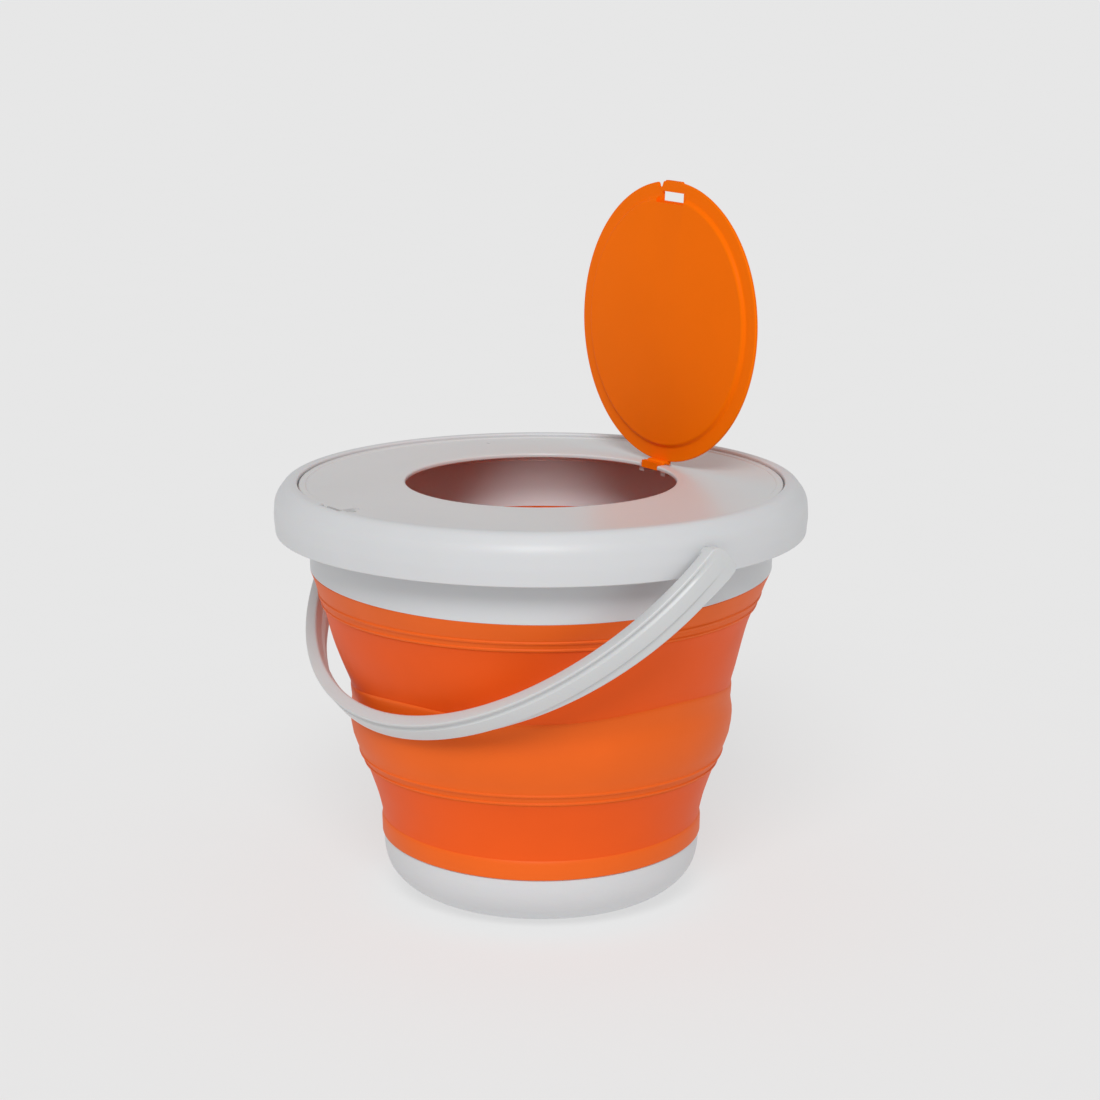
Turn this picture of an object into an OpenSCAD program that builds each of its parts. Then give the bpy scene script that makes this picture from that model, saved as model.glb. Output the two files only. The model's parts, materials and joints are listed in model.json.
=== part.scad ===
// Folding camp toilet: a soft bellows bucket with a rigid rim, a drop-in seat
// cover with a flip lid, and a strap handle.
// The origin is the centre of the base on the floor. +Z is up, the handle's
// pivots lie along X, the lid's hinge is at the rear (+Y) and the handle hangs
// at the front (-Y).

/* [Overall] */
// Outside diameter of the rim's skirt
rim_d = 320; // [312:1:330]
// Height of the rim's top edge above the floor
height = 256; // [252:1:264]

/* [Base cup] */
// Outside diameter of the cup at its lip
base_d = 192.6; // [190:0.2:193.4]
// Height of the lip, where the bellows starts
base_h = 35; // [33:0.5:37]
// Width of the rounded bottom edge
base_round_w = 42; // [30:1:46]
// Height of the rounded bottom edge
base_round_h = 32; // [20:1:33]
// Wall thickness of the cup
base_wall = 2.6; // [2:0.1:3.2]

/* [Bellows] */
// Thickness of the soft wall
web_wall = 2.4; // [1.8:0.1:2.6]
// Outside diameter of the neck end of the bellows
neck_d = 277.6; // [274:0.4:280]
// Outside diameter at the upper ridge
upper_ridge_d = 258; // [255:1:260]
// Outside diameter at the valley under the upper web
valley_d = 230.6; // [228:0.4:232]
// Outside diameter of the middle ring where it is fullest
bulge_d = 231.6; // [230:0.4:234]
// Outside diameter at the lower ridge
lower_ridge_d = 213; // [211:1:215]
// Outside diameter at the crease above the bottom band
crease_d = 193.6; // [192:0.4:195]

/* [Seat cover] */
// Diameter of the cover plate
cover_d = 290; // [288:0.2:290.2]
// Diameter of the hole in the cover
hole_d = 162.6; // [158:0.2:163]
// Thickness of the cover plate
cover_t = 2.6; // [2.2:0.1:3]

/* [Flip lid] */
// Diameter of the lid
lid_d = 171; // [169:0.5:172]
// Thickness of the lid
lid_t = 2.4; // [2:0.1:3]
// Angle of the open lid from closed
lid_open = 93; // [92:1:104]

/* [Handle] */
// Inside radius of the strap
strap_r = 162.2; // [161.8:0.1:163.5]
// Thickness of the strap
strap_t = 8; // [7:0.1:9]
// Width of the strap at its middle
strap_w_mid = 14.2; // [13:0.1:14.4]
// Width of the strap at its ends
strap_w_end = 22.2; // [19:0.1:23]
// Angle of the hanging strap below horizontal
strap_sag = 42; // [36:0.5:42]

/* [Hidden] */
$fn = 96;
eps = 0.01;
cut = 1;

// rim
rim_r = rim_d / 2;
skirt_bottom = height - 30;
skirt_top = height - 15;
skirt_wall = 2.6;
rim_edge_r = rim_r - 8;
rim_round = 15;
skirt_draft = 0.8;
skirt_bend = 2.2;
skirt_turn = 5;
edge_drop = 1;
edge_flat = 1.5;
edge_wall = 4;
recess_r = 145.8;
recess_depth = 5.6;
ledge_top = height - recess_depth;
ledge_t = 2.6;
neck_r = neck_d / 2;
neck_bottom = height - 56.4;
neck_wall = 2.8;
neck_lead = 0.6;
lap_top = height - 45.5;
lap_t = 1;
tongue_in = 1.8;
tongue_t = 1;
tongue_drop = 5;
tongue_lean = 2.5;
notch_w = 22;
notch_out = 3.4;

// bellows levels
upper_ridge_top = 187;
upper_ridge_bottom = 181;
valley_z = 135;
bulge_top = 127;
bulge_bottom = 114;
ring_turn = 102;
ring_turn_in = 1.4;
lower_ridge_top = 91;
lower_ridge_bottom = 83;
crease_z = 47;
upper_ridge_r = upper_ridge_d / 2;
valley_r = valley_d / 2;
bulge_r = bulge_d / 2;
lower_ridge_r = lower_ridge_d / 2;
crease_r = crease_d / 2;
ridge_step = 3;
band_out = 0.9;
band_full_z = 41;
band_end_wall = 3.4;

// base cup
base_r = base_d / 2;
base_taper = 0.3;
floor_t = 3;
lip_in = 2.4;
lip_h = 8;
lip_wall = 2;
lip_cap = 1;

// seat cover
cover_r = cover_d / 2;
cover_top = height - 1.8;
cover_under = cover_top - cover_t;
crown = 1.2;
hole_r = hole_d / 2;
crown_r = hole_r + 10;
edge = 0.7;
guide_wall = 2;
guide_gap = 0.6;
guide_drop = 11;
pull_w = 12;
pull_out = 2.4;
pull_root = 12;
pull_slot_w = 17;
pull_slot_l = 16;

// lid hinge
pin_r = 1.5;
pin_clear = 0.05;
knuckle_r = 3.2;
knuckle_w = 16;
side_gap = 0.5;
hinge_y = lid_d / 2 + 2.4;
hinge_z = cover_top + crown - 1;
ear_w = 4.5;
pin_len = knuckle_w + 2 * side_gap + 2 * ear_w;
pocket_w = knuckle_w + 2 * side_gap;
pocket_front = hole_r - 2;
pocket_rear = hinge_y + knuckle_r + 1;
ear_l = 2 * knuckle_r + 2;
ear_h = 6;
ear_drop = 2.5;
heel_l = 6.5;
heel_t = 4.4;

// lid
lid_r = lid_d / 2;
lid_gap = 0.4;
lid_under = cover_top + crown + lid_gap;
plug_r = hole_r - 4.6;
plug_drop = 2.2;
plug_lean = 0.8;
pad_w = 27;
pad_in = 72.2;
window_w = 21.5;
window_l = 5.8;
window_r = 76.1;
thumb_w = 16;
thumb_out = 1;
lid_notch_w = 7;
lid_notch_in = 3.4;
lid_notch_x = -13;

// handle
pivot_z = height - 17;
strap_or = strap_r + strap_t;
strap_top = 5.2;
groove_depth = 1.4;
groove_w = 1.1;
groove_mid = 1.7;
flange_step = 1.6;
inner_taper = 3;
inner_turn = -1;
flange_half = 0.54;
flange_gone = 0.893;
flange_drop = 5.7;
paddle_past = 6;
paddle_top_r = 7;
paddle_low_r = 3.5;
paddle_root = 2;
plate_t = strap_t - flange_step;
stud_r = 4;
stud_clear = 0.05;
stud_press = 5;
boss_r = 8;
boss_in = 150;
head_r = 5.6;
head_t = 2.2;
head_gap = 0.4;

// Points of an ellipse about (cx, cz), from angle a0 to a1
function arc(cx, cz, rx, rz, a0, a1, n) =
    [for (i = [0 : n]) let (a = a0 + (a1 - a0) * i / n) [cx + rx * cos(a), cz + rz * sin(a)]];

// A wall of revolution: its outside line from the top down, and its thickness
module shell_of_revolution(outline, wall) {
    inside = [for (i = [len(outline) - 1 : -1 : 0]) [outline[i][0] - wall, outline[i][1]]];
    rotate_extrude()
        polygon(concat(outline, inside));
}

// Rounded-bottom cup with a flat floor and an inset lip that the bellows grips
module base_cup() {
    foot_r = base_r - base_taper;
    turn_r = foot_r - base_round_w;
    inner_w = base_round_w - base_wall;
    inner_h = base_round_h - floor_t;
    outside = concat([[0, 0]], arc(turn_r, base_round_h, base_round_w, base_round_h, -90, 0, 14));
    inside = arc(turn_r, base_round_h, inner_w, inner_h, 0, -90, 14);
    lip_r = base_r - lip_in;
    color("gainsboro")
        rotate_extrude()
            polygon(concat(outside,
                [[base_r, base_h], [lip_r, base_h], [lip_r, base_h + lip_h],
                    [lip_r - lip_wall, base_h + lip_h], [lip_r - lip_wall, base_h]],
                inside, [[0, floor_t]]));
}

// Soft band that grips the cup's lip and ends in the crease under the lower web
module bellows_bottom_band() {
    lip_r = base_r - lip_in;
    color("orangered")
        rotate_extrude()
            polygon([[base_r, base_h], [base_r + band_out, band_full_z], [crease_r, crease_z],
                [crease_r - web_wall, crease_z], [lip_r - lip_wall, base_h + lip_h + lip_cap],
                [lip_r - lip_wall, base_h + lip_h], [lip_r, base_h + lip_h], [lip_r, base_h]]);
}

// Soft web between the crease and the lower ridge
module bellows_lower_web() {
    color("tomato")
        shell_of_revolution([[lower_ridge_r, lower_ridge_bottom], [crease_r, crease_z]], web_wall);
}

// Thick bulged ring between the valley and the lower ridge
module bellows_middle_ring() {
    color("orangered")
        shell_of_revolution([[valley_r, valley_z], [bulge_r, bulge_top], [bulge_r, bulge_bottom],
            [bulge_r - ring_turn_in, ring_turn], [lower_ridge_r + ridge_step, lower_ridge_top],
            [lower_ridge_r, lower_ridge_bottom]], web_wall);
}

// Soft web between the valley and the upper ridge
module bellows_upper_web() {
    color("tomato")
        shell_of_revolution([[upper_ridge_r, upper_ridge_bottom], [valley_r, valley_z]], web_wall);
}

// Section of the rim's tongue that the top band grips
module tongue_section() {
    tongue_out = neck_r - tongue_in + tongue_t;
    polygon([[neck_r - tongue_in, neck_bottom + eps], [tongue_out, neck_bottom + eps],
        [tongue_out - tongue_lean, neck_bottom - tongue_drop],
        [tongue_out - tongue_lean - tongue_t, neck_bottom - tongue_drop]]);
}

// Soft band that grips the neck's tongue, laps up inside the neck and ends in the upper ridge
module bellows_top_band() {
    color("orangered")
        rotate_extrude()
            difference() {
                polygon([[neck_r, neck_bottom], [upper_ridge_r + ridge_step, upper_ridge_top],
                    [upper_ridge_r, upper_ridge_bottom],
                    [upper_ridge_r - web_wall, upper_ridge_bottom],
                    [upper_ridge_r + ridge_step - band_end_wall, upper_ridge_top],
                    [neck_r - neck_wall, neck_bottom], [neck_r - neck_wall, lap_top],
                    [neck_r - neck_wall + lap_t, lap_top],
                    [neck_r - neck_wall + lap_t, neck_bottom]]);
                tongue_section();
            }
}

// Rounded top edge, hanging skirt, ledge and neck in one section
module rim_section() {
    skirt_in = rim_r - skirt_wall;
    round_pts = arc(rim_r - rim_round, height - rim_round, rim_round, rim_round, 0, 50, 5);
    polygon(concat([[rim_r - skirt_draft, skirt_bottom]], round_pts,
        [[rim_edge_r, height - edge_drop], [rim_edge_r - edge_flat, height], [recess_r, height],
            [recess_r, ledge_top], [neck_r - neck_wall - neck_lead, ledge_top],
            [neck_r - neck_wall, lap_top], [neck_r - neck_wall + lap_t, lap_top],
            [neck_r - neck_wall + lap_t, neck_bottom], [neck_r, neck_bottom],
            [neck_r + neck_lead, ledge_top - ledge_t], [recess_r, ledge_top - ledge_t],
            [rim_edge_r - edge_drop, height - edge_wall],
            [skirt_in - skirt_bend, skirt_top - edge_drop], [skirt_in, skirt_top - skirt_turn],
            [skirt_in - skirt_draft, skirt_bottom]]));
    tongue_section();
}

// Places its child at both handle pivots, with +Z pointing outwards along X
module at_pivots() {
    for (side = [-1, 1])
        translate([0, 0, pivot_z])
            rotate([0, side * 90, 0])
                children();
}

// The rim, with a bored boss inside the skirt at each pivot
module rim() {
    color("gainsboro")
        difference() {
            union() {
                rotate_extrude()
                    rim_section();
                intersection() {
                    at_pivots()
                        translate([0, 0, boss_in])
                            cylinder(r = boss_r, h = rim_r - boss_in);
                    cylinder(r = rim_r - skirt_draft, h = height);
                }
            }
            at_pivots()
                translate([0, 0, boss_in - cut])
                    cylinder(r = stud_r + stud_clear, h = rim_r - boss_in + 2 * cut);
            translate([-notch_w / 2, -recess_r - notch_out, ledge_top])
                cube([notch_w, 2 * notch_out, recess_depth + cut]);
        }
}

// Crowned plate with a round hole, a guide ring below and a pull tab at the front
module seat_cover() {
    guide_r = neck_r - neck_wall - neck_lead - guide_gap;
    color("whitesmoke")
        difference() {
            union() {
                rotate_extrude()
                    polygon([[cover_r - edge, cover_top], [cover_r, cover_top - edge],
                        [cover_r, cover_under], [guide_r, cover_under],
                        [guide_r, cover_under - guide_drop],
                        [guide_r - guide_wall, cover_under - guide_drop],
                        [guide_r - guide_wall, cover_under], [crown_r, cover_under + crown],
                        [hole_r, cover_under + crown], [hole_r, cover_top + crown - edge],
                        [hole_r + edge, cover_top + crown], [crown_r, cover_top + crown]]);
                hinge_ears();
                translate([-pull_w / 2, -cover_r - pull_out, cover_under])
                    cube([pull_w, pull_out + pull_root, cover_t - edge]);
            }
            hinge_pocket();
            for (side = [-1, 1])
                translate([side * (pull_w + pull_slot_w) / 4, -cover_r, cover_under + cover_t / 2])
                    cube([(pull_slot_w - pull_w) / 2, pull_slot_l, cover_t * 2], center = true);
        }
}

// Two blocks under the plate that hold the ends of the hinge pin
module hinge_ears() {
    for (side = [-1, 1])
        translate([side * (pocket_w + ear_w) / 2, hinge_y, hinge_z - ear_drop])
            cube([ear_w, ear_l, ear_h], center = true);
}

// Room for the lid's knuckle, and the pin's holes through the ears
module hinge_pocket() {
    translate([-pocket_w / 2, pocket_front, cover_under - guide_drop])
        cube([pocket_w, pocket_rear - pocket_front, 2 * guide_drop]);
    along_hinge(pin_r, pin_len);
}

// A rod on the lid's hinge line
module along_hinge(r, h) {
    translate([0, hinge_y, hinge_z])
        rotate([0, 90, 0])
            cylinder(r = r, h = h, center = true);
}

// Steel pin held in the cover's ears
module lid_hinge_pin() {
    color("silver")
        along_hinge(pin_r, pin_len);
}

// The lid as it lies when closed: a flange round a shallow dish that drops into the hole
module closed_lid() {
    difference() {
        union() {
            difference() {
                dished_disc();
                translate([-pad_w / 2, -lid_r, lid_under - plug_drop - cut])
                    cube([pad_w, lid_r - pad_in, plug_drop + cut]);
            }
            translate([-pad_w / 2, -window_r - window_l, lid_under])
                cube([pad_w, window_r + window_l - pad_in + lid_t, lid_t]);
            translate([-thumb_w / 2, -lid_r - thumb_out, lid_under])
                cube([thumb_w, thumb_out + window_l / 2, lid_t]);
            translate([-knuckle_w / 2, plug_r, lid_under])
                cube([knuckle_w, hinge_y - plug_r, lid_t]);
            translate([-knuckle_w / 2, hinge_y - heel_t / 2, hinge_z - heel_l])
                cube([knuckle_w, heel_t, heel_l]);
            along_hinge(knuckle_r, knuckle_w);
        }
        along_hinge(pin_r + pin_clear, knuckle_w + 2 * cut);
        translate([-window_w / 2, -window_r - window_l / 2, lid_under - plug_drop])
            cube([window_w, window_l, plug_drop + lid_t + cut]);
        translate([lid_notch_x - lid_notch_w / 2, -lid_r - cut, lid_under - cut])
            cube([lid_notch_w, lid_notch_in + cut, lid_t + 2 * cut]);
    }
}

// Disc of even thickness whose middle is set down by the plug's drop
module dished_disc() {
    dish_r = plug_r - plug_lean - lid_t;
    rotate_extrude()
        polygon([[0, lid_under - plug_drop], [plug_r - plug_lean, lid_under - plug_drop],
            [plug_r, lid_under], [lid_r, lid_under], [lid_r, lid_under + lid_t - edge],
            [lid_r - edge, lid_under + lid_t], [dish_r + plug_lean, lid_under + lid_t],
            [dish_r, lid_under + lid_t - plug_drop], [0, lid_under + lid_t - plug_drop]]);
}

// The lid swung open about its pin
module flip_lid() {
    color("darkorange")
        translate([0, hinge_y, hinge_z])
            rotate([-lid_open, 0, 0])
                translate([0, -hinge_y, -hinge_z])
                    closed_lid();
}

// Section of the strap: radius across, width along Y, a groove outside and a flange below
module strap_section() {
    low = strap_top - strap_w_end;
    flange = strap_top - strap_w_mid;
    groove_top = groove_mid + groove_w / 2;
    groove_bottom = groove_mid - groove_w / 2;
    polygon([[strap_r, inner_turn], [strap_r + inner_taper, flange], [strap_r + inner_taper, low],
        [strap_or - flange_step, low], [strap_or - flange_step, flange],
        [strap_or, flange], [strap_or, groove_bottom - groove_depth],
        [strap_or - groove_depth, groove_bottom], [strap_or - groove_depth, groove_top],
        [strap_or, groove_top + groove_depth], [strap_or, strap_top], [strap_r, strap_top]]);
}

// The strap lying flat, reaching to the front, its flange widening from the middle to the ends
module flat_strap() {
    low_end = strap_top - strap_w_end;
    low_mid = strap_top - strap_w_mid;
    intersection() {
        rotate([0, 0, 180])
            rotate_extrude(angle = 180)
                strap_section();
        rotate([90, 0, -90])
            linear_extrude(height = 3 * strap_or, center = true)
                polygon([[-cut, low_end], [strap_r * flange_half, low_mid - flange_drop],
                    [strap_r * flange_gone, low_mid], [strap_or + cut, low_mid],
                    [strap_or + cut, strap_top + cut], [-cut, strap_top + cut]]);
    }
}

// Strap bail with an end plate at each side, drilled for its pivot pin
module handle() {
    color("whitesmoke")
        translate([0, 0, pivot_z])
            rotate([strap_sag, 0, 0])
                difference() {
                    union() {
                        flat_strap();
                        for (side = [-1, 1])
                            translate([side * (strap_r + plate_t / 2), 0, 0])
                                rotate([0, 90, 0])
                                    linear_extrude(height = plate_t, center = true)
                                        end_plate_outline();
                    }
                    for (side = [-1, 1])
                        rotate([0, side * 90, 0])
                            translate([0, 0, strap_r - cut])
                                cylinder(r = stud_r, h = stud_press + cut);
                }
}

// Outline of an end plate: X across the strap with its top at -X, Y along it
module end_plate_outline() {
    top = -strap_top;
    low = strap_w_end - strap_top;
    polygon(concat([[top, -paddle_root], [low, -paddle_root]],
        arc(low - paddle_low_r, paddle_past - paddle_low_r, paddle_low_r, paddle_low_r, 0, 90, 6),
        arc(top + paddle_top_r, paddle_past - paddle_top_r, paddle_top_r, paddle_top_r,
            90, 180, 9)));
}

// One pivot pin for each side, with its snap head inside the boss
module handle_pivot_pins() {
    color("gainsboro")
        at_pivots() {
            translate([0, 0, boss_in - head_gap])
                cylinder(r = stud_r, h = strap_r + stud_press - boss_in + head_gap);
            translate([0, 0, boss_in - head_gap - head_t])
                cylinder(r1 = stud_r, r2 = head_r, h = head_t);
        }
}

base_cup();
bellows_bottom_band();
bellows_lower_web();
bellows_middle_ring();
bellows_upper_web();
bellows_top_band();
rim();
seat_cover();
lid_hinge_pin();
flip_lid();
handle();
handle_pivot_pins();
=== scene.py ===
import json
import math

import bmesh
import bpy
import numpy as np
from mathutils import Matrix, Vector


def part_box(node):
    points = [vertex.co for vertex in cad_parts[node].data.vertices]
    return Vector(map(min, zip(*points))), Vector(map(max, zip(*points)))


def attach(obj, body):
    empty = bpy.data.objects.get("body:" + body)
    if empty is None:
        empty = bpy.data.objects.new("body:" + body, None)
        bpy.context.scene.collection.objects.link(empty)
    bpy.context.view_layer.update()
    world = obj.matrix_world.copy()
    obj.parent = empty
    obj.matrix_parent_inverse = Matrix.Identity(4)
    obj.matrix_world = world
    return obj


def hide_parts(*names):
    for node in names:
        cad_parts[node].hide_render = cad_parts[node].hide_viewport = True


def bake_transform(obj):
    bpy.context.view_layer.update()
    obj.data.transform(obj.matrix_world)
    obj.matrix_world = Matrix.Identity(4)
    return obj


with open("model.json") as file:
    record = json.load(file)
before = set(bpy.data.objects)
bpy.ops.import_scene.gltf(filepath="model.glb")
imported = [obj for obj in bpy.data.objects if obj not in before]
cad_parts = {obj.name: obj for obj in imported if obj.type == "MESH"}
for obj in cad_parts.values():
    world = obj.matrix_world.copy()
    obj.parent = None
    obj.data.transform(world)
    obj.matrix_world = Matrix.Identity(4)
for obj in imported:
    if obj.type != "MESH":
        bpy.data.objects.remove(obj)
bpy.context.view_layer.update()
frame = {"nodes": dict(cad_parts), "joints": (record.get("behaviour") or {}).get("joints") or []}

MM = 0.001

# ---------------------------------------------------------------- places taken from the frame, in mm
JOINTS = {j["name"]: j for j in frame["joints"]}


def top_of(node):
    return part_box(node)[1].z / MM


def bottom_of(node):
    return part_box(node)[0].z / MM


def radius_of(node):
    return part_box(node)[1].x / MM


RIM_R = radius_of("rim")
RIM_TOP = top_of("rim")
CUP_R = radius_of("base_cup")
CUP_LIP = bottom_of("bellows_bottom_band")
CREASE_Z = top_of("bellows_bottom_band")
LOWER_RIDGE_Z = bottom_of("bellows_middle_ring")
LOWER_RIDGE_R = radius_of("bellows_lower_web")
VALLEY_Z = top_of("bellows_middle_ring")
BULGE_R = radius_of("bellows_middle_ring")
UPPER_RIDGE_Z = bottom_of("bellows_top_band")
UPPER_RIDGE_R = radius_of("bellows_upper_web")
LAP_Z = top_of("bellows_top_band")
NECK_R = radius_of("bellows_top_band")
HINGE_Y, HINGE_Z = JOINTS["lid_hinge"]["pos_m"][1] / MM, JOINTS["lid_hinge"]["pos_m"][2] / MM
LID_OPEN = math.radians(JOINTS["lid_hinge"]["range_deg"][1])
PIVOT_Z = JOINTS["strap_swing"]["pos_m"][2] / MM
STRAP_SAG = math.radians(JOINTS["strap_swing"]["range_deg"][1] - 90)

# ---------------------------------------------------------------- sizes of the moulded details, in mm
# In a name, _R is a radius, _W a width, _L a length and _T a thickness.
# SEAM keeps faces that would lie in one plane a little apart, for the cuts and joins.
ROUND_STEPS = 256
SEAM = 0.02
RUNNING_GAP = 0.05

# the cup, with a tongue on its lip that the bottom band fits over
CUP_ROUND_W = 42
CUP_ROUND_H = 32
CUP_WALL = 2.6
CUP_FLOOR = 3
FOOT_GAP = 0.6
LIP_R = CUP_R - 2.4
TONGUE_T = 2
TONGUE_H = 8

# the neck and the rim
NECK_WALL = 2.8
NECK_END = RIM_TOP - 56.4
NECK_IN_R = NECK_R - NECK_WALL
LAP_T = 1
SKIRT_END = RIM_TOP - 30
SKIRT_WALL = 2.6
RECESS_R = 145.8
RECESS_DEPTH = 5.6
SHELF_T = 2.6
NOTCH_W = 22
NOTCH_OUT = 3.4
BOSS_IN = 150
BOSS_R = 8
BORE_R = 4 + RUNNING_GAP
BORE_L = 30

# the bellows
WEB_WALL = 2.4
CREASE_R = CUP_R + 0.3
VALLEY_R = BULGE_R - 0.9
TOP_WEB_R = UPPER_RIDGE_R - 0.2
LOWER_LEAN = 0.42

# how the soft wall strays from round and level: waves are (share, lobes, phase, twist per mm of height)
WAVE = 0.2
WAVES = ((1.0, 2, 0.6, 0.010), (0.6, 3, 2.1, -0.016), (0.3, 7, 0.9, 0.045))
WAVE_FADE = 20
SWELL = 4.2
SWELL_AT = math.radians(-125)
SWELL_Z = 166
SWELL_REACH = 38
SWAY_FROM = math.radians(-35.5)
NECK_SWAY = 4
VALLEY_SWAY = 5.5
CREASE_SWAY = 3.5
CUP_SWAY_REACH = 16

# the seat cover
COVER_R = 145
COVER_TOP = RIM_TOP - 1.8
COVER_T = 2.6
COVER_UNDER = COVER_TOP - COVER_T
CROWN = 1.2
LEDGE = 0.4
HOLE_R = 81.3
GUIDE_GAP = 1.2
GUIDE_H = 11
GUIDE_T = 2
TAB_HALF = 7
TAB_L = 12
TAB_SLOT_X = 8.6
TAB_SLOT_W = 3
EAR_W = 4.5
EAR_X = 2.75

# the lid and its hinge
LID_R = 85.5
LID_T = 2.4
LID_UNDER = COVER_TOP + CROWN + 0.4
LID_TOP = LID_UNDER + LID_T
LID_MID = LID_UNDER + LID_T / 2
PLUG_R = HOLE_R - 4.6
PLUG_LEAN = 1.6
PLUG_DROP = 2.2
PAD_W = 27
PAD_IN = 72.2
WINDOW_W = 21.5
WINDOW_L = 5.8
WINDOW_R = 76.1
THUMB_W = 16
THUMB_OUT = 0.3
THUMB_CORNER = 0.8
THUMB_ROOT = 4
LID_NOTCH_X = -13
LID_NOTCH_MOUTH = 4.5
LID_NOTCH_END = 2
LID_NOTCH_IN = 4.2
KNUCKLE_R = 3.2
KNUCKLE_W = 16
HEEL_L = 6.5
HEEL_T = 4.4
PIN_R = 1.5

# the strap: W_MID wide at its middle and W_END at its ends, with the extra width on its lower side. It
# widens where the cosine of the angle from the pivots is over FLARE_FROM. Its groove, step and taper grow
# from next to nothing as the sine of that angle passes SETTLE_FROM, and are full SETTLE_OVER later.
STRAP_R = 162.2
STRAP_T = 8
STRAP_TOP = 5.2
STRAP_W_MID = 14.2
STRAP_W_END = 22.2
STRAP_TAPER = 3
STRAP_GROOVE = 1.4
STRAP_STEP = 1.5
STRAP_PAST = 6
STRAP_TOP_CORNER = 7
STRAP_LOW_CORNER = 3.5
STRAP_STEPS = 150
FLARE_FROM = 0.45
SETTLE_FROM = 0.02
SETTLE_OVER = 0.12
MIN_FLANGE = 0.3
SHALLOW = 0.05

# ---------------------------------------------------------------- view and light: degrees, and metres
VIEW_AZIMUTH = 54.5
VIEW_DISTANCE = 1.903
VIEW_HEIGHT = 0.639
VIEW_PITCH = 12.65
VIEW_SIDE = 0.0054
LENS = 106.0
FLOOR_R = 30
WORLD_STRENGTH = 0.52
KEY_STRENGTH = 1.5


# ---------------------------------------------------------------- mesh helpers
def rounded(corners, steps=5):
    """A closed outline from (x, y, corner radius), each corner with a radius turned into an arc."""
    pts = []
    count = len(corners)
    for i, (x, y, r) in enumerate(corners):
        here = np.array([x, y], float)
        if r <= 0:
            pts.append(tuple(here))
            continue
        before = np.array(corners[i - 1][:2], float) - here
        after = np.array(corners[(i + 1) % count][:2], float) - here
        len_b, len_a = np.linalg.norm(before), np.linalg.norm(after)
        before, after = before / len_b, after / len_a
        angle = math.acos(max(-1.0, min(1.0, float(before @ after))))
        reach = min(r / math.tan(angle / 2), 0.48 * len_b, 0.48 * len_a)
        radius = reach * math.tan(angle / 2)
        start, end = here + before * reach, here + after * reach
        centre = here + (before + after) / np.linalg.norm(before + after) * math.hypot(reach, radius)
        a0 = math.atan2(*(start - centre)[::-1])
        a1 = math.atan2(*(end - centre)[::-1])
        sweep = (a1 - a0 + math.pi) % (2 * math.pi) - math.pi
        for k in range(steps + 1):
            a = a0 + sweep * k / steps
            pts.append((centre[0] + radius * math.cos(a), centre[1] + radius * math.sin(a)))
    return pts


def finish_mesh(name, bm, sharp_deg=38):
    """A new object from bm: doubled points merged, normals outward, smooth except at sharp edges."""
    bmesh.ops.remove_doubles(bm, verts=bm.verts, dist=1e-6)
    bmesh.ops.recalc_face_normals(bm, faces=bm.faces)
    mesh = bpy.data.meshes.new(name)
    bm.to_mesh(mesh)
    bm.free()
    obj = bpy.data.objects.new(name, mesh)
    bpy.context.scene.collection.objects.link(obj)
    shade(obj, sharp_deg)
    return obj


def shade(obj, sharp_deg=38):
    """Smooth shading, with edges sharper than sharp_deg left crisp."""
    bm = bmesh.new()
    bm.from_mesh(obj.data)
    for f in bm.faces:
        f.smooth = True
    for e in bm.edges:
        e.smooth = len(e.link_faces) == 2 and e.calc_face_angle(0) < math.radians(sharp_deg)
    bm.to_mesh(obj.data)
    bm.free()


def lathe(name, outline, steps=ROUND_STEPS, wobble=None, sway=None):
    """A solid of revolution from a closed (radius, height) outline in mm. wobble and sway, both of
    (angle, height), add to the radius and to the height."""
    bm = bmesh.new()
    rings = []
    for r, z in outline:
        if r < 1e-6:
            rings.append([bm.verts.new((0, 0, z * MM))])
            continue
        ring = []
        for k in range(steps):
            a = 2 * math.pi * k / steps
            rr = (r + (wobble(a, z) if wobble else 0)) * MM
            zz = (z + (sway(a, z) if sway else 0)) * MM
            ring.append(bm.verts.new((rr * math.cos(a), rr * math.sin(a), zz)))
        rings.append(ring)
    for i, low in enumerate(rings):
        high = rings[(i + 1) % len(rings)]
        if len(low) == 1 and len(high) == 1:
            continue
        for k in range(steps):
            n = (k + 1) % steps
            if len(low) == 1:
                bm.faces.new((low[0], high[n], high[k]))
            elif len(high) == 1:
                bm.faces.new((low[k], low[n], high[0]))
            else:
                bm.faces.new((low[k], low[n], high[n], high[k]))
    return finish_mesh(name, bm)


def slab(name, outline, low, high, bevel=0.0):
    """A plate: a closed (x, y) outline in mm between two heights in mm."""
    bm = bmesh.new()
    lower = [bm.verts.new((x * MM, y * MM, low * MM)) for x, y in outline]
    upper = [bm.verts.new((x * MM, y * MM, high * MM)) for x, y in outline]
    bm.faces.new(lower[::-1])
    bm.faces.new(upper)
    for i in range(len(outline)):
        n = (i + 1) % len(outline)
        bm.faces.new((lower[i], lower[n], upper[n], upper[i]))
    if bevel:
        bmesh.ops.bevel(bm, geom=[e for e in bm.edges if e.calc_face_angle(0) > 0.8],
                        offset=bevel * MM, segments=3, affect="EDGES", profile=0.5)
    return finish_mesh(name, bm)


def block(name, centre, size, bevel=0.0):
    """A box in mm, its edges rounded by bevel."""
    (x, y, z), (w, d, h) = centre, size
    outline = [(x - w / 2, y - d / 2), (x + w / 2, y - d / 2),
               (x + w / 2, y + d / 2), (x - w / 2, y + d / 2)]
    return slab(name, outline, z - h / 2, z + h / 2, bevel)


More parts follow.
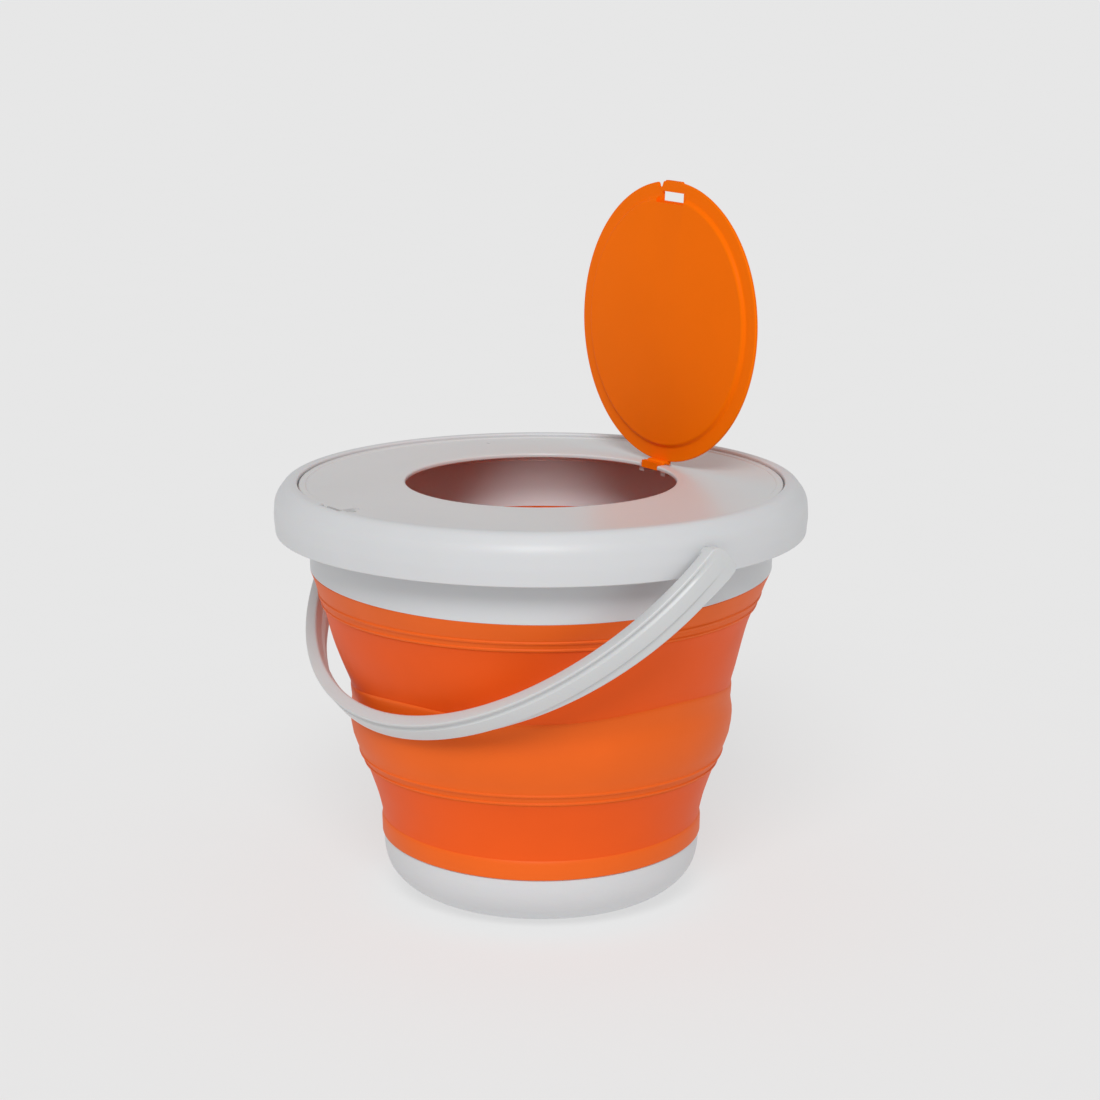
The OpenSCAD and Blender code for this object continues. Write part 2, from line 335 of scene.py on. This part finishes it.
def rod(name, centre, axis, radius, length, steps=48, bevel=0.0):
    """A cylinder in mm about centre, along axis, its end edges rounded by bevel."""
    half = length / 2
    outline = rounded([(0, -half, 0), (radius, -half, bevel), (radius, half, bevel), (0, half, 0)], 3)
    obj = lathe(name, outline, steps)
    turn = Vector((0, 0, 1)).rotation_difference(Vector(axis)).to_matrix().to_4x4()
    obj.data.transform(Matrix.Translation(Vector(centre) * MM) @ turn)
    return obj


def combine(target, tool, operation):
    """Joins tool to target, or cuts it away, and deletes tool."""
    mod = target.modifiers.new("combine", "BOOLEAN")
    mod.object = tool
    mod.operation = operation
    mod.solver = "EXACT"
    deps = bpy.context.evaluated_depsgraph_get()
    result = bpy.data.meshes.new_from_object(target.evaluated_get(deps))
    target.modifiers.clear()
    target.data = result
    bpy.data.objects.remove(tool)


def add(target, tool):
    combine(target, tool, "UNION")


def cut(target, tool):
    combine(target, tool, "DIFFERENCE")


# ---------------------------------------------------------------- materials
def socket(node, name, value):
    node.inputs[name].default_value = value


def moulded(name, colour, roughness, variation=0.02, grain=0.06, grain_size=0.0006, soft=0.0, shine=0.5):
    """A moulded polymer: slow colour drift, a fine skin grain, and gloss that varies with it."""
    mat = bpy.data.materials.new(name)
    mat.use_nodes = True
    nodes, links = mat.node_tree.nodes, mat.node_tree.links
    shader = nodes["Principled BSDF"]
    place = nodes.new("ShaderNodeTexCoord")

    drift = nodes.new("ShaderNodeTexNoise")
    socket(drift, "Scale", 14)
    socket(drift, "Detail", 3)
    tint = nodes.new("ShaderNodeValToRGB")
    tint.color_ramp.elements[0].position = 0.35
    tint.color_ramp.elements[1].position = 0.65
    tint.color_ramp.elements[0].color = (*[c * (1 - variation) for c in colour], 1)
    tint.color_ramp.elements[1].color = (*[min(1, c * (1 + variation)) for c in colour], 1)
    links.new(place.outputs["Object"], drift.inputs["Vector"])
    links.new(drift.outputs["Fac"], tint.inputs["Fac"])
    links.new(tint.outputs["Color"], shader.inputs["Base Color"])

    skin = nodes.new("ShaderNodeTexNoise")
    socket(skin, "Scale", 1 / grain_size)
    socket(skin, "Detail", 2)
    bump = nodes.new("ShaderNodeBump")
    socket(bump, "Strength", grain)
    socket(bump, "Distance", 0.0002)
    links.new(place.outputs["Object"], skin.inputs["Vector"])
    links.new(skin.outputs["Fac"], bump.inputs["Height"])
    links.new(bump.outputs["Normal"], shader.inputs["Normal"])

    polish = nodes.new("ShaderNodeTexNoise")
    socket(polish, "Scale", 30)
    socket(polish, "Detail", 5)
    gloss = nodes.new("ShaderNodeMapRange")
    socket(gloss, "To Min", roughness - 0.05)
    socket(gloss, "To Max", roughness + 0.05)
    links.new(place.outputs["Object"], polish.inputs["Vector"])
    links.new(polish.outputs["Fac"], gloss.inputs["Value"])
    links.new(gloss.outputs["Result"], shader.inputs["Roughness"])

    socket(shader, "IOR", 1.49)
    if soft:
        socket(shader, "Subsurface Weight", soft)
        socket(shader, "Subsurface Radius", (0.004, 0.002, 0.001))
        socket(shader, "Subsurface Scale", 1.0)
    socket(shader, "Specular IOR Level", shine)
    return mat


def steel(name):
    mat = moulded(name, (0.62, 0.62, 0.63), 0.3, grain=0.1, grain_size=0.0003)
    socket(mat.node_tree.nodes["Principled BSDF"], "Metallic", 1.0)
    return mat


def paper(name, colour, glow):
    """The plain floor: matt, with a glow of its own like a light table and the faintest mottling."""
    mat = moulded(name, colour, 0.9, variation=0.004, grain=0.02, grain_size=0.002, shine=0.0)
    shader = mat.node_tree.nodes["Principled BSDF"]
    socket(shader, "Emission Color", (1, 1, 1, 1))
    socket(shader, "Emission Strength", glow)
    return mat


def paint(obj, mat):
    obj.data.materials.clear()
    obj.data.materials.append(mat)


# ---------------------------------------------------------------- the rubber bellows
def wobble(angle, z):
    """What the soft wall's radius gains: a slow unevenness and, on one side, a swell about the height
    SWELL_Z. Both are nothing at the cup's lip and at the neck's end."""
    ends = min((z - CUP_LIP) / WAVE_FADE, (NECK_END - z) / WAVE_FADE, 1)
    if ends <= 0:
        return 0
    wave = sum(share * math.sin(lobes * angle + phase + twist * z) for share, lobes, phase, twist in WAVES)
    swell = SWELL * max(0.0, math.cos(angle - SWELL_AT)) ** 4 * fade((z - SWELL_Z) / SWELL_REACH)
    return WAVE * ends * wave + swell


def fade(distance):
    """1 at no distance, easing to 0 at a distance of 1."""
    t = max(0.0, 1 - abs(distance))
    return t * t * (3 - 2 * t)


def sway(angle, z):
    """What a height gains: the soft wall's edges, and the cup's lip and neck's end with them, rise and
    fall a few millimetres on their way round."""
    turn = angle - SWAY_FROM
    valley = VALLEY_SWAY * (math.sin(2 * turn) ** 2 - 0.5 * math.sin(turn) ** 2)
    crease = CREASE_SWAY * math.sin(turn) ** 2
    if z > CREASE_Z:
        crease *= fade((z - CREASE_Z) / (LOWER_RIDGE_Z - CREASE_Z))
    elif z < CUP_LIP:
        crease *= fade((CUP_LIP - z) / CUP_SWAY_REACH)
    neck = NECK_SWAY * math.sin(turn) ** 2 * fade((z - NECK_END) / (NECK_END - UPPER_RIDGE_Z))
    return valley * fade((z - VALLEY_Z) / (UPPER_RIDGE_Z - VALLEY_Z)) + crease + neck


def inward(outer, wall):
    """The inner line that closes an outer line given from the top down."""
    return [(r - wall, z) for r, z in reversed(outer)]


def bead(r, z, lean):
    """A thin raised ridge with a fine crease below it, as points from the top down. The wall under it
    gains lean in radius for each mm of height."""
    high, half = 0.8, 1.1
    return [(r + lean * half, z + half), (r + high + lean * 0.4, z + 0.45),
            (r + high - lean * 0.4, z - 0.45), (r - lean * half - 0.35, z - half)]


def soft_ring(name, outline):
    """A ring of the soft wall, with its wobble and sway."""
    return lathe(name, outline, wobble=wobble, sway=sway)


def build_top_band():
    lean = (NECK_R - UPPER_RIDGE_R) / (NECK_END - UPPER_RIDGE_Z)
    line = [(NECK_R - 0.6, NECK_END), (NECK_R - 0.3, NECK_END - 0.4), (NECK_R - 1.5, NECK_END - 3)]
    line += [(NECK_R - 3.3, NECK_END - 6.2), (NECK_R - 4.9, NECK_END - 9.4)]
    line += bead(UPPER_RIDGE_R + 3.1, UPPER_RIDGE_Z + 6.2, lean)
    line += [(UPPER_RIDGE_R + 1.7, UPPER_RIDGE_Z + 3.6)]
    line += bead(UPPER_RIDGE_R + 0.6, UPPER_RIDGE_Z + 1.4, lean)
    line += [(TOP_WEB_R, UPPER_RIDGE_Z)]
    lap = [(NECK_IN_R, NECK_END), (NECK_IN_R, LAP_Z - 0.6), (NECK_IN_R + 0.6, LAP_Z),
           (NECK_IN_R + LAP_T, LAP_Z), (NECK_IN_R + LAP_T, NECK_END)]
    back = [(TOP_WEB_R - WEB_WALL, UPPER_RIDGE_Z), (NECK_IN_R - 2.2, NECK_END - 6)]
    return soft_ring("bellows_top_band_skin", line + back + lap)


def build_web(name, top, bottom, curve, steps):
    """A folding web between two (radius, height) edges. curve gives (share of the way in, share of the
    way down)."""
    (top_r, top_z), (bottom_r, bottom_z) = top, bottom
    drop = top_z - bottom_z
    narrow = top_r - bottom_r
    line = [(top_r - narrow * b, top_z - drop * a) for a, b in resample(curve, steps)]
    return soft_ring(name, line + inward(line, WEB_WALL))


def build_upper_web():
    curve = [(0, 0), (0.05, 0.075), (0.13, 0.19), (0.28, 0.36), (0.45, 0.52), (0.63, 0.68), (0.8, 0.83),
             (0.92, 0.945), (1, 1)]
    return build_web("bellows_upper_web_skin", (TOP_WEB_R, UPPER_RIDGE_Z), (VALLEY_R, VALLEY_Z), curve, 22)


def resample(points, count):
    """A smooth curve through the (x, y) points, as points evenly spaced in x."""
    xs, ys = np.array(points).T
    slope = np.gradient(ys, xs)
    out = []
    for x in np.linspace(xs[0], xs[-1], count):
        i = min(np.searchsorted(xs, x, side="right") - 1, len(xs) - 2)
        h = xs[i + 1] - xs[i]
        s = (x - xs[i]) / h
        y = ((2 * s ** 3 - 3 * s ** 2 + 1) * ys[i] + (s ** 3 - 2 * s ** 2 + s) * h * slope[i]
             + (3 * s ** 2 - 2 * s ** 3) * ys[i + 1] + (s ** 3 - s ** 2) * h * slope[i + 1])
        out.append((float(x), float(y)))
    return out


def build_middle_ring():
    bulge = [(-0.4, 0.7), (-0.3, 2), (-0.5, 5), (-0.9, 9), (-0.5, 13), (0.1, 16.5), (0.2, 20), (-0.2, 25),
             (-1.4, 32), (-3.4, 38), (-5.2, 42.4)]
    line = [(VALLEY_R, VALLEY_Z)] + [(BULGE_R + out, VALLEY_Z - down) for out, down in bulge]
    line += bead(LOWER_RIDGE_R + 3.4, LOWER_RIDGE_Z + 7.2, LOWER_LEAN)
    line += [(LOWER_RIDGE_R + 1.9, LOWER_RIDGE_Z + 4.4)]
    line += bead(LOWER_RIDGE_R + 0.8, LOWER_RIDGE_Z + 1.8, LOWER_LEAN)
    line += [(LOWER_RIDGE_R, LOWER_RIDGE_Z)]
    return soft_ring("bellows_middle_ring_skin", line + inward(line, WEB_WALL))


def build_lower_web():
    curve = [(0, 0), (0.06, 0.1), (0.17, 0.25), (0.36, 0.47), (0.58, 0.7), (0.8, 0.88), (0.93, 0.97),
             (1, 1)]
    return build_web("bellows_lower_web_skin", (LOWER_RIDGE_R, LOWER_RIDGE_Z), (CREASE_R, CREASE_Z),
                     curve, 18)


def build_bottom_band():
    line = [(CREASE_R, CREASE_Z), (CREASE_R + 0.4, CREASE_Z - 0.6), (CREASE_R + 0.7, CREASE_Z - 2.4),
            (CUP_R + 0.9, CREASE_Z - 6), (CUP_R + 0.8, CUP_LIP + 1.2), (CUP_R + 0.5, CUP_LIP + 0.3),
            (CUP_R - 0.3, CUP_LIP)]
    groove_top = CUP_LIP + TONGUE_H
    line += [(LIP_R, CUP_LIP), (LIP_R, groove_top), (LIP_R - TONGUE_T, groove_top),
             (LIP_R - TONGUE_T, groove_top + 1), (CREASE_R - WEB_WALL, CREASE_Z)]
    return soft_ring("bellows_bottom_band_skin", line)


# ---------------------------------------------------------------- the white mouldings
def build_cup():
    turn_r = CUP_R - 0.3 - CUP_ROUND_W
    quarter = [math.radians(-90 + 90 * k / 24) for k in range(25)]
    outside = [(turn_r + CUP_ROUND_W * math.cos(a), CUP_ROUND_H + CUP_ROUND_H * math.sin(a)) for a in quarter]
    inside = [(turn_r + (CUP_ROUND_W - CUP_WALL) * math.cos(a),
               CUP_ROUND_H + (CUP_ROUND_H - CUP_FLOOR) * math.sin(a)) for a in quarter[::-1]]
    underside = [(0, FOOT_GAP), (turn_r - 8, FOOT_GAP), (turn_r - 7, 0)]
    tongue_top = CUP_LIP + TONGUE_H
    lip = [(CUP_R - 0.2, CUP_LIP - 0.5), (CUP_R - 0.7, CUP_LIP), (LIP_R, CUP_LIP), (LIP_R, tongue_top),
           (LIP_R - TONGUE_T, tongue_top), (LIP_R - TONGUE_T, CUP_LIP)]
    return lathe("base_cup_shell", underside + outside + lip + inside + [(0, CUP_FLOOR)], sway=sway)


def build_rim():
    shelf = RIM_TOP - RECESS_DEPTH
    shelf_under = shelf - SHELF_T
    skirt_in = RIM_R - SKIRT_WALL
    corners = [(RIM_R - 1, SKIRT_END, 0.9), (RIM_R, RIM_TOP - 20, 30), (RIM_R - 0.6, RIM_TOP - 9, 14),
               (RIM_R - 7.5, RIM_TOP, 6), (RECESS_R, RIM_TOP, 1.1), (RECESS_R, shelf, 0.6),
               (NECK_IN_R - 0.6, shelf, 1), (NECK_IN_R, LAP_Z, 0), (NECK_IN_R + LAP_T, LAP_Z, 0),
               (NECK_IN_R + LAP_T, NECK_END, 0), (NECK_R, NECK_END, 0.4), (NECK_R + 0.6, shelf_under, 2.5),
               (RECESS_R, shelf_under, 2), (RIM_R - 9, RIM_TOP - 4, 3), (skirt_in - 1.2, RIM_TOP - 9, 8),
               (skirt_in, RIM_TOP - 20, 10), (skirt_in - 0.8, SKIRT_END, 0.9)]
    rim = lathe("rim_shell", rounded(corners, 7), sway=sway)
    notch_at = (0, -RECESS_R - NOTCH_OUT / 2 + 5, shelf + 5)
    cut(rim, block("notch", notch_at, (NOTCH_W, NOTCH_OUT + 10, 10), 0.8))
    length = skirt_in + 1 - BOSS_IN
    for side in (-1, 1):
        add(rim, rod("boss", (side * (BOSS_IN + length / 2), 0, PIVOT_Z), (1, 0, 0), BOSS_R, length))
    for side in (-1, 1):
        cut(rim, rod("bore", (side * (BOSS_IN + 6), 0, PIVOT_Z), (1, 0, 0), BORE_R, BORE_L))
    shade(rim)
    return rim


def build_cover():
    guide = NECK_IN_R - GUIDE_GAP
    guide_end = COVER_UNDER - GUIDE_H
    crowned = COVER_TOP + CROWN
    ledge = COVER_TOP + LEDGE
    corners = [(HOLE_R, COVER_UNDER + CROWN, 0.6), (HOLE_R, crowned, 1.2), (HOLE_R + 5, crowned, 12),
               (COVER_R - 4.6, COVER_TOP - 0.2, 1.5), (COVER_R - 4, ledge, 0.6), (COVER_R, ledge, 0.9),
               (COVER_R, COVER_UNDER, 0.4), (guide, COVER_UNDER, 0.8), (guide, guide_end, 0.7),
               (guide - GUIDE_T, guide_end, 0.7), (guide - GUIDE_T, COVER_UNDER, 0.8),
               (HOLE_R + 10, COVER_UNDER + CROWN, 8)]
    cover = lathe("seat_cover_plate", rounded(corners, 5))
    for side in (-1, 1):
        ear_at = (side * (KNUCKLE_W / 2 + EAR_X), HINGE_Y, HINGE_Z - 2.2)
        add(cover, block("ear", ear_at, (EAR_W, 2 * KNUCKLE_R + 2, 5.6), 0.4))
    pocket_at = (0, (HOLE_R - 4 + HINGE_Y + KNUCKLE_R + 1) / 2, HINGE_Z - 8)
    pocket_l = HINGE_Y + KNUCKLE_R + 5 - HOLE_R
    cut(cover, block("pocket", pocket_at, (KNUCKLE_W + 1, pocket_l, 40)))
    tab_end = TAB_HALF - 1.2
    tab = [(-TAB_HALF, -COVER_R + TAB_L), (-TAB_HALF, -COVER_R + 0.6), (-tab_end, -COVER_R - 0.4),
           (tab_end, -COVER_R - 0.4), (TAB_HALF, -COVER_R + 0.6), (TAB_HALF, -COVER_R + TAB_L)]
    for side in (-1, 1):
        slot_at = (side * TAB_SLOT_X, -COVER_R + 3, COVER_TOP)
        cut(cover, block("slot", slot_at, (TAB_SLOT_W, TAB_L, 12)))
    add(cover, slab("tab", tab, COVER_UNDER + 0.2, COVER_TOP + 1.4, 0.5))
    shade(cover)
    return cover


# ---------------------------------------------------------------- the lid
def build_lid():
    """Built lying closed, then turned up about its hinge."""
    face = LID_UNDER - PLUG_DROP
    dish = PLUG_R - PLUG_LEAN - LID_T
    disc = [(0, face, 0), (PLUG_R - PLUG_LEAN, face, 2), (PLUG_R, LID_UNDER, 1.5), (LID_R, LID_UNDER, 0.7),
            (LID_R, LID_TOP, 1.1), (dish + PLUG_LEAN, LID_TOP, 0.6), (dish, face + LID_T, 0.6),
            (0, face + LID_T, 0)]
    lid = lathe("flip_lid_disc", rounded(disc, 4))

    room_at = (0, -(LID_R + PAD_IN) / 2 - 5, face - 4.99 + PLUG_DROP)
    cut(lid, block("pad_room", room_at, (PAD_W, LID_R - PAD_IN + 10, 10)))
    pad_l = WINDOW_R + WINDOW_L - PAD_IN + LID_T
    pad_at = (0, -PAD_IN + LID_T - pad_l / 2, LID_MID)
    add(lid, block("pad", pad_at, (PAD_W, pad_l, LID_T - SEAM), 0.5))
    add_thumb_tab(lid)
    add_hinge_parts(lid)
    cut(lid, block("window", (0, -WINDOW_R, LID_UNDER), (WINDOW_W, WINDOW_L, 16), 0.6))
    notch = [(LID_NOTCH_X - LID_NOTCH_MOUTH, -LID_R - 2), (LID_NOTCH_X + LID_NOTCH_MOUTH, -LID_R - 2),
             (LID_NOTCH_X + LID_NOTCH_END, -LID_R + LID_NOTCH_IN),
             (LID_NOTCH_X - LID_NOTCH_END, -LID_R + LID_NOTCH_IN)]
    cut(lid, slab("notch", notch, LID_UNDER - 3, LID_UNDER + 6))
    shade(lid)

    turn = Matrix.Rotation(-LID_OPEN, 4, "X")
    hinge = Vector((0, HINGE_Y, HINGE_Z)) * MM
    lid.data.transform(Matrix.Translation(hinge) @ turn @ Matrix.Translation(-hinge))
    return lid


def add_thumb_tab(lid):
    half = THUMB_W / 2
    root, end = -LID_R + THUMB_ROOT, -LID_R - THUMB_OUT
    thumb = [(-half, root), (-half, end + THUMB_CORNER), (-half + THUMB_CORNER, end),
             (half - THUMB_CORNER, end), (half, end + THUMB_CORNER), (half, root)]
    add(lid, slab("thumb", thumb, LID_UNDER + SEAM, LID_TOP - SEAM, 0.5))


def add_hinge_parts(lid):
    """The arm, the heel below it and the knuckle, bored for the pin."""
    arm_l = HINGE_Y - PLUG_R - 1
    arm_at = (0, PLUG_R + 1 + arm_l / 2, LID_MID)
    add(lid, block("arm", arm_at, (KNUCKLE_W, arm_l, LID_T - 2 * SEAM), 0.3))
    add(lid, block("heel", (0, HINGE_Y, HINGE_Z - HEEL_L / 2), (KNUCKLE_W - 0.6, HEEL_T, HEEL_L), 0.6))
    hinge = (0, HINGE_Y, HINGE_Z)
    add(lid, rod("knuckle", hinge, (1, 0, 0), KNUCKLE_R, KNUCKLE_W, bevel=0.5))
    cut(lid, rod("pin_bore", hinge, (1, 0, 0), PIN_R + RUNNING_GAP, KNUCKLE_W + 4, steps=32))


# ---------------------------------------------------------------- the strap handle
def strap_section(flange, groove, step, taper, high, low):
    """(out, up) points of the strap's section. flange is its extra width below, groove the depth of the
    outer face's groove, step how far the flange lies behind that face, and taper how much the inner face
    is cut back below. high and low trim its top and bottom."""
    body = STRAP_TOP - STRAP_W_MID
    foot = body - flange + low
    top = STRAP_TOP - high
    return rounded([
        (taper, foot, 1.1), (STRAP_T - step, foot, 1.1), (STRAP_T - step, body, 0.3), (STRAP_T, body, 0.8),
        (STRAP_T, min(-0.2, top - 3), 0.7), (STRAP_T - groove, min(0.9, top - 2.4), 0.7),
        (STRAP_T - groove, min(2.5, top - 1.8), 0.7), (STRAP_T, min(3.6, top - 1.2), 0.6),
        (STRAP_T, top, 0.9), (0, top, 1.3), (0, min(-1, top - 2), 2), (taper, body, 2)], 4)


def corner_trim(corner, s):
    """How much a rounded corner of radius corner takes off the strap at a distance s from its end."""
    near = max(corner - s, 0)
    return corner - math.sqrt(corner ** 2 - near ** 2) + SEAM


def strap_stations():
    """(angle, past, trims) round the strap: angle along its half circle, past how far beyond the pivots,
    and trims what its top and bottom lose there."""
    end = [(0.0, STRAP_PAST - s, (corner_trim(STRAP_TOP_CORNER, s), corner_trim(STRAP_LOW_CORNER, s)))
           for s in (0.0, 0.15, 0.5, 1.1, 2.0, 3.2, 4.5, 5.5)]
    half = end + [(math.pi * k / STRAP_STEPS, 0.0, (SEAM, SEAM)) for k in range(STRAP_STEPS // 2 + 1)]
    return half + [(math.pi - angle, past, trims) for angle, past, trims in reversed(half[:-1])]


def build_strap():
    """Built standing out level to the front, then swung down to where it hangs."""
    bm = bmesh.new()
    rings = []
    for angle, past, (high, low) in strap_stations():
        share = max(0, (abs(math.cos(angle)) - FLARE_FROM) / (1 - FLARE_FROM))
        settle = min(1, max(0, (math.sin(angle) - SETTLE_FROM) / SETTLE_OVER)) if past == 0 else 0
        flange = max(MIN_FLANGE, (STRAP_W_END - STRAP_W_MID) * share)
        section = strap_section(flange, SEAM + STRAP_GROOVE * settle, SHALLOW + STRAP_STEP * settle,
                                SHALLOW + STRAP_TAPER * settle, high, low)
        out = Vector((math.cos(angle), -math.sin(angle), 0))
        foot = out * STRAP_R + Vector((0, past, 0))
        rings.append([bm.verts.new((foot + out * u + Vector((0, 0, v))) * MM) for u, v in section])
    for ring, following in zip(rings[:-1], rings[1:]):
        for k in range(len(ring)):
            n = (k + 1) % len(ring)
            bm.faces.new((ring[k], ring[n], following[n], following[k]))
    bm.faces.new(rings[0])
    bm.faces.new(rings[-1][::-1])
    strap = finish_mesh("strap_handle", bm, sharp_deg=50)
    hang = Matrix.Rotation(STRAP_SAG, 4, "X")
    strap.data.transform(Matrix.Translation((0, 0, PIVOT_Z * MM)) @ hang)
    return strap


# ---------------------------------------------------------------- stage, light and camera
def build_stage():
    bm = bmesh.new()
    bmesh.ops.create_circle(bm, cap_ends=True, segments=96, radius=FLOOR_R)
    floor = finish_mesh("floor", bm)
    paint(floor, paper("floor_paper", (0.3, 0.3, 0.3), 0.55))


def sun(name, azimuth, elevation, strength, spread):
    """A broad, even light. azimuth (0 is the front), elevation and spread are in degrees."""
    a, e = math.radians(azimuth), math.radians(elevation)
    back = Vector((math.sin(a) * math.cos(e), -math.cos(a) * math.cos(e), math.sin(e)))
    data = bpy.data.lights.new(name, "SUN")
    data.energy = strength
    data.angle = math.radians(spread)
    lamp = bpy.data.objects.new(name, data)
    lamp.rotation_mode = "QUATERNION"
    lamp.rotation_quaternion = back.to_track_quat("Z", "Y")
    bpy.context.scene.collection.objects.link(lamp)


def inner_glow(azimuth):
    """A small lamp low in the bucket. It lights the far side of the inside, up to the neck, for a camera
    at azimuth."""
    a = math.radians(azimuth)
    toward = Vector((math.sin(a), -math.cos(a), 0))
    start = toward * (CUP_R - 36) * MM + Vector((0, 0, CUP_LIP + 20)) * MM
    target = -toward * NECK_IN_R * MM + Vector((0, 0, NECK_END - 52)) * MM
    data = bpy.data.lights.new("inner_glow", "SPOT")
    data.energy = 2.0
    data.spot_size = math.radians(42)
    data.spot_blend = 1.0
    data.shadow_soft_size = 0.01
    lamp = bpy.data.objects.new("inner_glow", data)
    lamp.location = start
    lamp.rotation_mode = "QUATERNION"
    lamp.rotation_quaternion = (start - target).to_track_quat("Z", "Y")
    bpy.context.scene.collection.objects.link(lamp)


def build_light():
    world = bpy.data.worlds.new("studio")
    bpy.context.scene.world = world
    world.use_nodes = True
    back = world.node_tree.nodes["Background"]
    socket(back, "Color", (1, 1, 1, 1))
    socket(back, "Strength", WORLD_STRENGTH)
    sun("key", azimuth=VIEW_AZIMUTH - 4, elevation=40, strength=KEY_STRENGTH, spread=24)
    inner_glow(VIEW_AZIMUTH)


def build_camera():
    data = bpy.data.cameras.new("camera")
    data.lens = LENS
    data.sensor_width = 36
    camera = bpy.data.objects.new("camera", data)
    a = math.radians(VIEW_AZIMUTH)
    camera.location = Matrix.Rotation(a, 3, "Z") @ Vector((VIEW_SIDE, -VIEW_DISTANCE, VIEW_HEIGHT))
    camera.rotation_euler = (math.radians(90 - VIEW_PITCH), 0, a)
    bpy.context.scene.collection.objects.link(camera)
    bpy.context.scene.camera = camera


# ---------------------------------------------------------------- the object
def build_object():
    white = moulded("white_shell", (0.65, 0.658, 0.672), 0.42, variation=0.012, soft=0.08)
    cover_white = moulded("white_cover", (0.66, 0.66, 0.662), 0.3, variation=0.012, soft=0.08)
    strap_white = moulded("white_strap", (0.62, 0.63, 0.635), 0.36, variation=0.012, soft=0.08)
    rubber = moulded("orange_rubber_ring", (0.84, 0.128, 0.008), 0.5, variation=0.03, grain=0.1, shine=0.22)
    # The webs get a redder, darker copy of the ring rubber. This is painted shade of the downward-facing
    # folds, since webs and rings are one rubber.
    shaded_web_rubber = moulded("orange_rubber_web_painted_shade", (0.85, 0.099, 0.006), 0.5, variation=0.03, grain=0.1,
                         shine=0.18)
    lid_orange = moulded("orange_lid", (0.95, 0.165, 0.001), 0.42, variation=0.015, shine=0.03)
    pin = steel("pin_steel")

    plain = [
        (build_cup(), white, "base", "base_cup", "white_shell"),
        (build_bottom_band(), rubber, "base", "bellows_bottom_band", "orange_rubber"),
        (build_middle_ring(), rubber, "mid_ring", "bellows_middle_ring", "orange_rubber"),
        (build_top_band(), rubber, "rim", "bellows_top_band", "orange_rubber"),
        (build_rim(), white, "rim", "rim", "white_shell"),
        (build_cover(), cover_white, "cover", "seat_cover", "white_cover"),
        (build_lid(), lid_orange, "lid", "flip_lid", "orange_lid"),
        (build_strap(), strap_white, "strap", "handle", "white_strap"),
    ]
    for piece, mat, body, node, slot in plain:
        paint(piece, mat)
        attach(piece, body)
        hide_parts(node)

    webs = [
        (build_lower_web(), "base", "mid_ring", CREASE_Z + CREASE_SWAY, LOWER_RIDGE_Z, "bellows_lower_web"),
        (build_upper_web(), "mid_ring", "rim", VALLEY_Z + VALLEY_SWAY, UPPER_RIDGE_Z, "bellows_upper_web"),
    ]
    for piece, below, above, start, end, node in webs:
        paint(piece, shaded_web_rubber)
        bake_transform(piece)
        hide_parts(node)

    paint(frame["nodes"]["lid_hinge_pin"], pin)
    paint(frame["nodes"]["handle_pivot_pins"], strap_white)


build_object()
build_stage()
build_light()
build_camera()
bpy.context.scene.view_settings.view_transform = "Standard"
